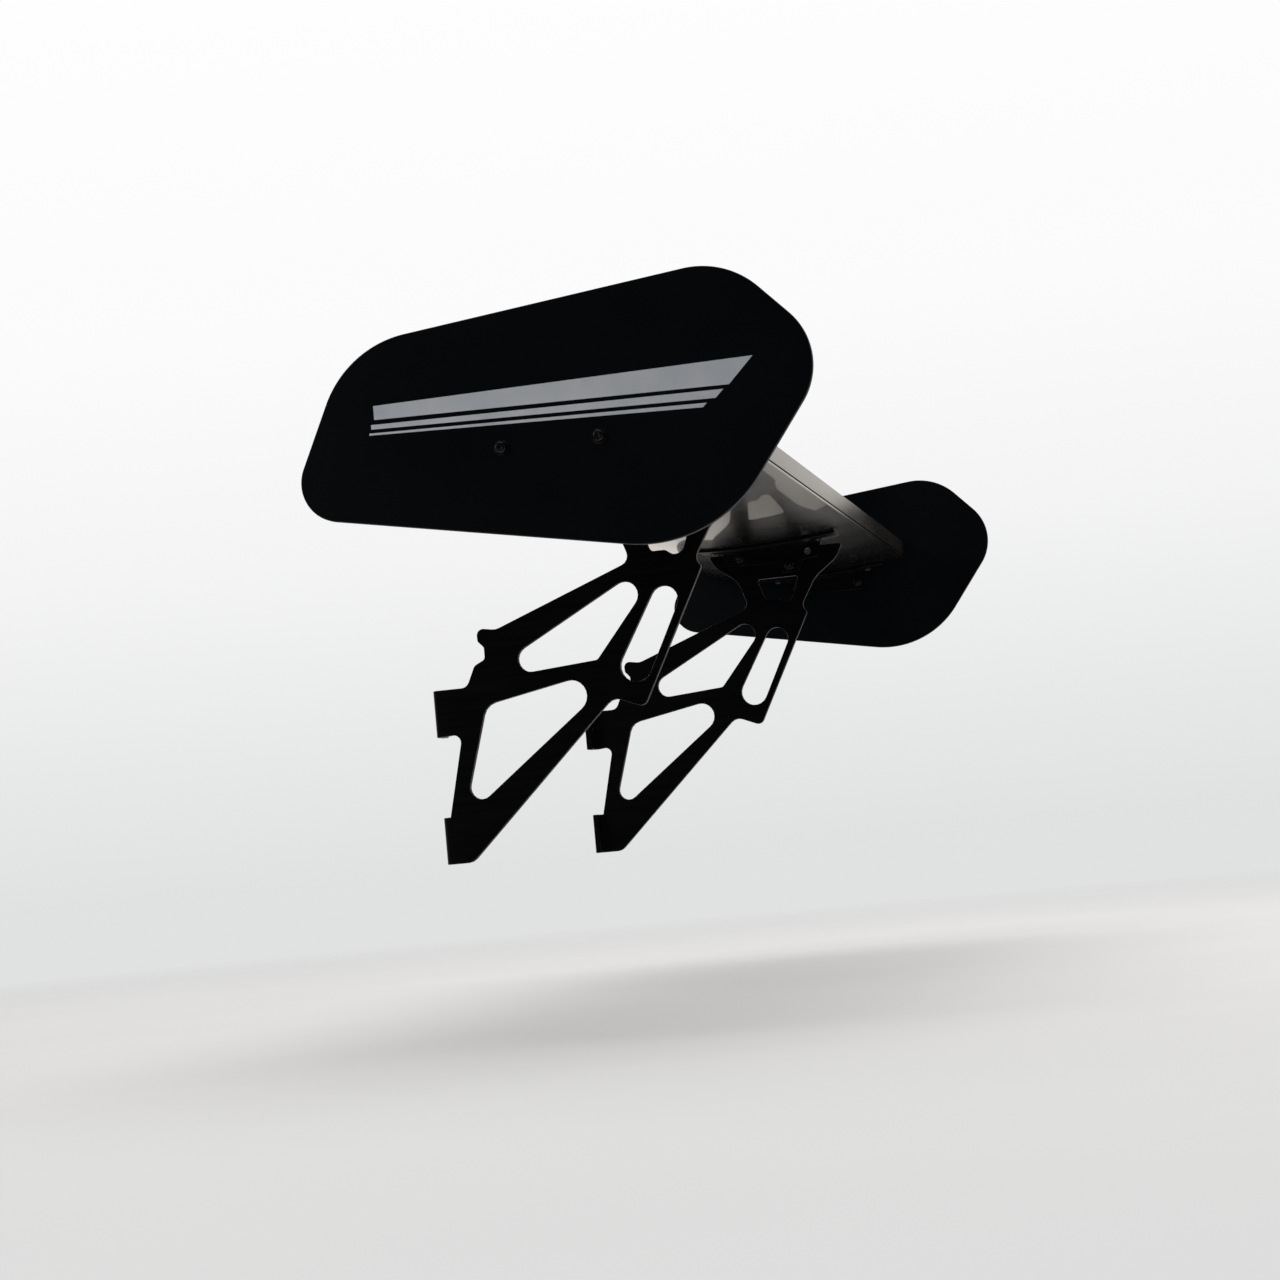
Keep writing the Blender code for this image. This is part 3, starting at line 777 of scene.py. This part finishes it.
def build_wing(looks):
    skin = wing_mesh(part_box("main_plane")[1][0])
    skin_looks = [looks["carbon"], looks["strip"]]
    place_piece("wing_skin", skin, skin_looks, WING_BODY, ["main_plane"])
    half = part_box("gurney_flap")[1][0] / MM
    flap = extruded("gurney_strip", [gurney_loop()], -half, half)
    smooth_by_angle(flap, 40.0)
    place_piece("gurney_strip", flap, [looks["strip"]], WING_BODY, ["gurney_flap"])
    bead = extruded("gurney_bond_line", [bead_loop()], -half, half)
    place_piece("gurney_bond_line", bead, [looks["sealant"]], WING_BODY)


def build_end_plates(looks):
    panel_looks = [looks["plate"], looks["rim"]]
    for word, side in (("left", 1), ("right", -1)):
        name, node = word + "_plate_panel", word + "_end_plate"
        low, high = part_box(node)
        holes = []
        for where in ("front", "rear"):
            middle = centre_of(f"{word}_end_{where}_washer")
            holes.append(circle((middle.y / MM, middle.z / MM), BOLT_HOLE))
        mesh = extruded(name, [belt(END_PLATE), *holes], low[0] / MM, high[0] / MM)
        panel = place_piece(name, mesh, panel_looks, WING_BODY, [node])
        soften(panel, EDGE_ROUND, 1, segments=3)
        face = max(abs(low[0]), abs(high[0]))
        stripe = stripe_mesh(side, face + FILM_GAP * MM)
        place_piece(word + "_plate_stripes", stripe, [looks["silver"]], WING_BODY)


def build_cut_parts(looks):
    for word in ("left", "right"):
        dress_cut_part(word + "_upright", [looks["upright"], looks["edge"]], UPRIGHT_EDGE)
        for spot in ("upright", "end"):
            dress_cut_part(f"{word}_{spot}_bracket", [looks["bracket"], looks["edge"]], BRACKET_EDGE)
            relook(NODES[f"{word}_{spot}_rib"], [looks["resin"]])


def turn_to(direction):
    """Turns +X to the direction."""
    return direction.to_track_quat("X", "Z").to_matrix().to_4x4()


def place_fastener(node, mesh, where, look):
    """A fine mesh moved to its place, in a fastener node's stead."""
    mesh.transform(where)
    place_piece(node + "_fine", mesh, [look], WING_BODY, [node])


def build_bolts(looks):
    """Every bolt, washer and nut, each where its CAD node is."""
    head = BOLT["head"]
    for word, side in (("left", 1), ("right", -1)):
        inward = Vector((-side, 0, 0))
        for spot in ("end_front", "end_rear", "pivot", "adjuster"):
            bolt, washer, nut = (f"{word}_{spot}_{kind}" for kind in ("bolt", "washer", "nut"))
            low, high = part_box(bolt)
            outside = high[0] if side > 0 else low[0]
            middle = centre_of(bolt)
            seat = Vector((outside - side * head * MM, middle.y, middle.z))
            mesh = button_bolt_mesh(bolt + "_fine", BOLT, (high[0] - low[0]) / MM - head)
            where = Matrix.Translation(seat) @ turn_to(inward)
            place_fastener(bolt, mesh, where, looks["bolt"])
            where = Matrix.Translation(centre_of(washer))
            place_fastener(washer, washer_mesh(), where, looks["washer"])
            where = Matrix.Translation(centre_of(nut)) @ Matrix.Rotation(radians(NUT_TURN), 4, "X")
            place_fastener(nut, nut_mesh(), where, looks["nut"])


def middle_of(points):
    return sum(points, Vector()) / len(points)


def build_screw(name, look):
    """A screw up into the wing, along its CAD node's own axis, from the points of its tip and its head."""
    points = [Vector(vertex.co) for vertex in NODES[name].data.vertices]
    tip_height = max(p.z for p in points)
    tip = middle_of([p for p in points if p.z > tip_height - SCREW_TIP * MM])
    foot = middle_of(sorted(points, key=lambda p: (p - tip).length)[-HEAD_POINTS:])
    axis = (tip - foot).normalized()
    reach = max((p - tip).dot(-axis) for p in points)
    head = SCREW["head"]
    mesh = button_bolt_mesh(name + "_fine", SCREW, reach / MM - head)
    seat = tip - axis * (reach - head * MM)
    place_fastener(name, mesh, Matrix.Translation(seat) @ turn_to(axis), look)


def build_screws(looks):
    for word in ("left", "right"):
        for spot in ("upright", "end"):
            for where in ("front", "rear"):
                build_screw(f"{word}_{spot}_{where}_screw", looks["bolt"])


# ---------------------------------------------------------------- studio


def build_floor(looks):
    """A flat round floor, whose look fades it out away from its centre."""
    height = CAD_LOW[2] - FLOOR_DROP
    middle = STUDIO_CENTRE[:2]
    work = bmesh.new()
    centre = work.verts.new((*middle, height))
    last = None
    for radius in FLOOR_RINGS:
        ring = [work.verts.new((x, y, height)) for x, y in circle(middle, radius, FLOOR_SIDES)]
        if last:
            bridge(work, ring, last)
        else:
            for i in range(FLOOR_SIDES):
                work.faces.new((centre, ring[i], ring[(i + 1) % FLOOR_SIDES]))
        last = ring
    mesh = bpy.data.meshes.new("studio_floor")
    work.to_mesh(mesh)
    work.free()
    mesh.materials.append(looks["floor"])
    floor = bpy.data.objects.new("studio_floor", mesh)
    bpy.context.scene.collection.objects.link(floor)


def build_world():
    """The camera sees the backdrop, and every other ray the lighting with the ground's shade."""
    world = bpy.data.worlds.new("studio")
    bpy.context.scene.world = world
    world.use_nodes = True
    tree = world.node_tree
    nodes, links = tree.nodes, tree.links
    for node in list(nodes):
        nodes.remove(node)
    where = nodes.new("ShaderNodeTexCoord").outputs["Generated"]
    parts = nodes.new("ShaderNodeSeparateXYZ")
    links.new(where, parts.inputs[0])

    def ramp(source, low, high, stops):
        ranged = nodes.new("ShaderNodeMapRange")
        ranged.inputs["From Min"].default_value = low
        ranged.inputs["From Max"].default_value = high
        links.new(source, ranged.inputs["Value"])
        made = nodes.new("ShaderNodeValToRGB")
        elements = made.color_ramp.elements
        while len(elements) < len(stops):
            elements.new(0.5)
        for element, (at, colour) in zip(elements, stops):
            element.position = at
            element.color = (*colour, 1)
        links.new(ranged.outputs[0], made.inputs[0])
        return made.outputs[0]

    seen = ramp(parts.outputs["Z"], *BACKDROP_HEIGHTS, BACKDROP)
    lighting = ramp(parts.outputs["X"], -1.0, 1.0, LIGHTING)
    ground = ramp(parts.outputs["Z"], *GROUND_HEIGHTS, GROUND)
    shaded = nodes.new("ShaderNodeMix")
    shaded.data_type = "RGBA"
    shaded.blend_type = "MULTIPLY"
    shaded.inputs[0].default_value = 1.0
    links.new(lighting, shaded.inputs[6])
    links.new(ground, shaded.inputs[7])
    rays = nodes.new("ShaderNodeLightPath").outputs["Is Camera Ray"]
    mix = nodes.new("ShaderNodeMix")
    mix.data_type = "RGBA"
    links.new(rays, mix.inputs[0])
    links.new(shaded.outputs[2], mix.inputs[6])
    links.new(seen, mix.inputs[7])
    background = nodes.new("ShaderNodeBackground")
    background.inputs["Strength"].default_value = 1.0
    links.new(mix.outputs[2], background.inputs[0])
    output = nodes.new("ShaderNodeOutputWorld")
    links.new(background.outputs[0], output.inputs[0])


def build_lights():
    for name, place, size, power, colour in SOFTBOXES:
        light = bpy.data.lights.new(name, "AREA")
        light.shape = "RECTANGLE"
        light.size, light.size_y = size
        light.energy = power
        light.color = colour
        lamp = bpy.data.objects.new(name, light)
        lamp.location = place
        aim = Vector(STUDIO_CENTRE) - Vector(place)
        lamp.rotation_euler = aim.to_track_quat("-Z", "Y").to_euler()
        bpy.context.scene.collection.objects.link(lamp)


def build_camera():
    azimuth, elevation, roll = (radians(a) for a in (CAMERA_AZIMUTH, CAMERA_ELEVATION, CAMERA_ROLL))
    ahead = Vector((-sin(azimuth) * cos(elevation), cos(azimuth) * cos(elevation), -sin(elevation)))
    level = ahead.cross(Vector((0, 0, 1))).normalized()
    rise = level.cross(ahead)
    right = level * cos(roll) + rise * sin(roll)
    up = right.cross(ahead)
    data = bpy.data.cameras.new("photographer")
    data.sensor_width = CAMERA_SENSOR
    data.lens = CAMERA_LENS
    camera = bpy.data.objects.new("photographer", data)
    turn = Matrix((right, up, -ahead)).transposed().to_4x4()
    camera.matrix_world = Matrix.Translation(CAMERA_PLACE) @ turn
    bpy.context.scene.collection.objects.link(camera)
    bpy.context.scene.camera = camera


def main():
    bpy.context.scene.view_settings.view_transform = "Standard"
    looks = {
        "carbon": gloss_carbon(),
        "strip": satin_carbon(),
        "plate": satin_plate(),
        "rim": plate_edge(),
        "upright": anodised("black_anodised_plate"),
        "bracket": anodised("black_anodised_angle", 1.3),
        "edge": machined_edge_painted_highlight(),
        "bolt": steel("black_oxide_steel", (0.012, 0.012, 0.0125), (0.05, 0.05, 0.052), (0.2, 0.34)),
        "washer": steel("black_washer_steel", (0.008, 0.008, 0.009), (0.045, 0.045, 0.048), (0.25, 0.4)),
        "nut": steel("black_plated_nut", (0.010, 0.009, 0.009), (0.05, 0.046, 0.042), (0.3, 0.45)),
        "resin": resin(),
        "sealant": sealant(),
        "silver": silver_film(),
        "floor": floor_look(),
    }
    build_camera()
    build_wing(looks)
    build_end_plates(looks)
    build_cut_parts(looks)
    build_bolts(looks)
    build_screws(looks)
    build_floor(looks)
    build_world()
    build_lights()


main()
